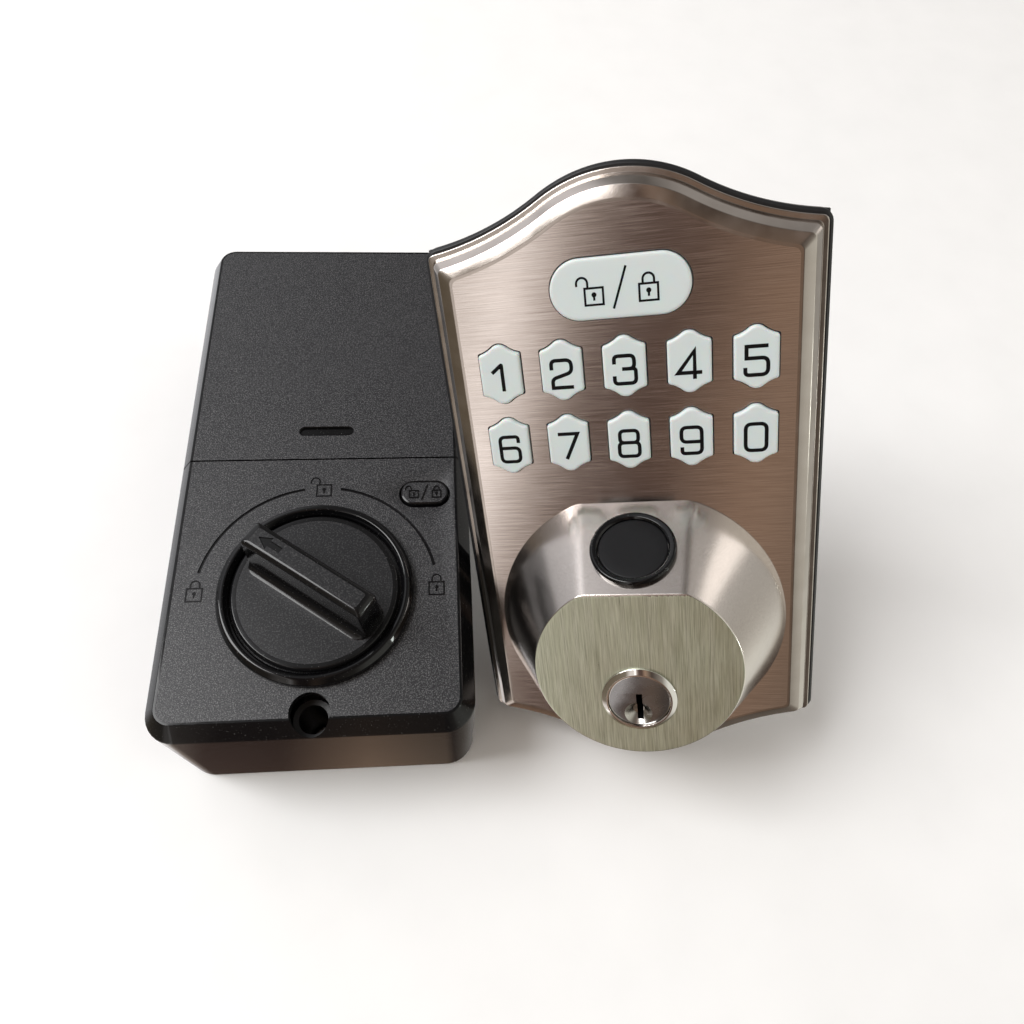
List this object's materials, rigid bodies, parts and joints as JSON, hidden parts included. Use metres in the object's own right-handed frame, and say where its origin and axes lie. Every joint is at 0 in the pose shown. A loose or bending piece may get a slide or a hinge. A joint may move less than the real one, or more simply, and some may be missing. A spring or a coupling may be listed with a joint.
{
  "type": "keypad smart lock",
  "caption": "Two-part electronic door lock: an arched metal keypad unit with a fingerprint reader and key cylinder, leaning on the black thumb-turn unit that lies on its door side",
  "frame": {"origin": "the thumb turn's axis on the door side of the interior unit's mounting plate, which is also the surface both units rest on", "axes": "+Z leaves the interior unit's face, +Y runs to the interior unit's upper end, +X runs to its right, toward the leaning exterior unit"},
  "size_m": [0.1535, 0.1477, 0.1148],
  "materials": {
    "nickel": "brushed satin nickel on a zinc casting",
    "black_housing": "black moulded plastic",
    "foam": "closed-cell foam",
    "steel": "zinc-plated steel",
    "plate_steel": "zinc-plated sheet steel",
    "key_plastic": "pale translucent plastic lit from behind",
    "silicone": "moulded silicone",
    "board": "green circuit board",
    "header_nylon": "natural nylon",
    "gloss_black": "polished black plastic",
    "sensor_black": "fine matte coating",
    "brass": "machined",
    "chrome": "polished plating",
    "matte_black": "fine-grained charcoal plastic",
    "chassis_black": "black moulded plastic",
    "cell_sleeve": "printed film sleeve, left plain"
  },
  "bodies": {
    "base": {"ext_escutcheon": "nickel", "ext_boss": "nickel", "ext_back_housing": "black_housing", "ext_gasket": "foam", "bolt_posts": "steel", "ext_screws": "steel", "keypad_mat": "silicone", "keypad_switches": "steel", "keypad_pcb": "board", "ext_header": "header_nylon", "fingerprint_bezel": "gloss_black", "fingerprint_sensor": "sensor_black", "fingerprint_pcb": "board", "lock_cylinder_body": "brass", "cylinder_collar": "chrome", "driver_pins": "steel", "pin_springs": "steel", "int_front_cover": "matte_black", "mounting_plate": "plate_steel", "int_chassis": "chassis_black", "gear_bridge": "chassis_black", "int_screws": "steel", "knob_ring": "gloss_black", "idler_shaft": "steel", "motor": "steel", "position_switches": "chassis_black", "interior_pcb": "board", "board_parts": "chassis_black", "int_header": "header_nylon", "button_pcb": "board", "int_button_switch": "chassis_black", "battery_1": "cell_sleeve", "battery_2": "cell_sleeve", "battery_3": "cell_sleeve", "battery_4": "cell_sleeve", "battery_contacts": "steel"},
    "thumb_turn_body": {"thumb_turn": "matte_black", "turn_hub": "header_nylon", "hub_clip": "steel", "output_gear": "header_nylon"},
    "idler_body": {"worm_wheel": "brass"},
    "worm_body": {"worm": "brass"},
    "plug_body": {"cylinder_plug": "chrome", "key_pins": "brass", "tailpiece": "steel", "tailpiece_clip": "brass"},
    "battery_cover_body": {"battery_cover": "matte_black"},
    "face_button_body": {"int_button": "matte_black"},
    "toggle_key_body": {"key_lock_toggle": "key_plastic"},
    "key_0_body": {"key_0": "key_plastic"},
    "key_1_body": {"key_1": "key_plastic"},
    "key_2_body": {"key_2": "key_plastic"},
    "key_3_body": {"key_3": "key_plastic"},
    "key_4_body": {"key_4": "key_plastic"},
    "key_5_body": {"key_5": "key_plastic"},
    "key_6_body": {"key_6": "key_plastic"},
    "key_7_body": {"key_7": "key_plastic"},
    "key_8_body": {"key_8": "key_plastic"},
    "key_9_body": {"key_9": "key_plastic"}
  },
  "joints": [
    {"name": "key_1_press", "type": "slide", "parent": "base", "child": "key_1_body", "axis": [0.2527, 0.7932, -0.554], "range_m": [0, 0.0008], "stiffness_N_per_m": 1200},
    {"name": "key_2_press", "type": "slide", "parent": "base", "child": "key_2_body", "axis": [0.2527, 0.7932, -0.554], "range_m": [0, 0.0008], "stiffness_N_per_m": 1200},
    {"name": "key_3_press", "type": "slide", "parent": "base", "child": "key_3_body", "axis": [0.2527, 0.7932, -0.554], "range_m": [0, 0.0008], "stiffness_N_per_m": 1200},
    {"name": "key_4_press", "type": "slide", "parent": "base", "child": "key_4_body", "axis": [0.2527, 0.7932, -0.554], "range_m": [0, 0.0008], "stiffness_N_per_m": 1200},
    {"name": "key_5_press", "type": "slide", "parent": "base", "child": "key_5_body", "axis": [0.2527, 0.7932, -0.554], "range_m": [0, 0.0008], "stiffness_N_per_m": 1200},
    {"name": "key_6_press", "type": "slide", "parent": "base", "child": "key_6_body", "axis": [0.2527, 0.7932, -0.554], "range_m": [0, 0.0008], "stiffness_N_per_m": 1200},
    {"name": "key_7_press", "type": "slide", "parent": "base", "child": "key_7_body", "axis": [0.2527, 0.7932, -0.554], "range_m": [0, 0.0008], "stiffness_N_per_m": 1200},
    {"name": "key_8_press", "type": "slide", "parent": "base", "child": "key_8_body", "axis": [0.2527, 0.7932, -0.554], "range_m": [0, 0.0008], "stiffness_N_per_m": 1200},
    {"name": "key_9_press", "type": "slide", "parent": "base", "child": "key_9_body", "axis": [0.2527, 0.7932, -0.554], "range_m": [0, 0.0008], "stiffness_N_per_m": 1200},
    {"name": "key_0_press", "type": "slide", "parent": "base", "child": "key_0_body", "axis": [0.2527, 0.7932, -0.554], "range_m": [0, 0.0008], "stiffness_N_per_m": 1200},
    {"name": "toggle_key_press", "type": "slide", "parent": "base", "child": "toggle_key_body", "axis": [0.2527, 0.7932, -0.554], "range_m": [0, 0.0008], "stiffness_N_per_m": 1500},
    {"name": "face_button_press", "type": "slide", "parent": "base", "child": "face_button_body", "axis": [0, 0, -1], "range_m": [0, 0.0006], "stiffness_N_per_m": 1200},
    {"name": "thumb_turn_spin", "type": "hinge", "parent": "base", "child": "thumb_turn_body", "pos_m": [0, 0, 0], "axis": [0, 0, 1], "range_deg": [-145, 35]},
    {"name": "idler_spin", "type": "hinge", "parent": "base", "child": "idler_body", "pos_m": [0.0104, 0.0181, 0.01], "axis": [0, 0, 1], "range_deg": [-118, 485]},
    {"name": "worm_spin", "type": "hinge", "parent": "base", "child": "worm_body", "pos_m": [0.0234, 0.0181, 0.016], "axis": [0, 1, 0], "range_deg": [-11610, 2810]},
    {"name": "plug_turn", "type": "hinge", "parent": "base", "child": "plug_body", "pos_m": [0.07482, -0.01293, 0.03404], "axis": [-0.2527, -0.7932, 0.554], "range_deg": [-90, 90]},
    {"name": "battery_cover_slide", "type": "slide", "parent": "base", "child": "battery_cover_body", "axis": [0, 1, 0], "range_m": [0, 0.08]}
  ],
  "couplings": [
    {"joint": "idler_spin", "follows": "thumb_turn_spin", "ratio": -3.3333},
    {"joint": "worm_spin", "follows": "thumb_turn_spin", "ratio": 80}
  ]
}
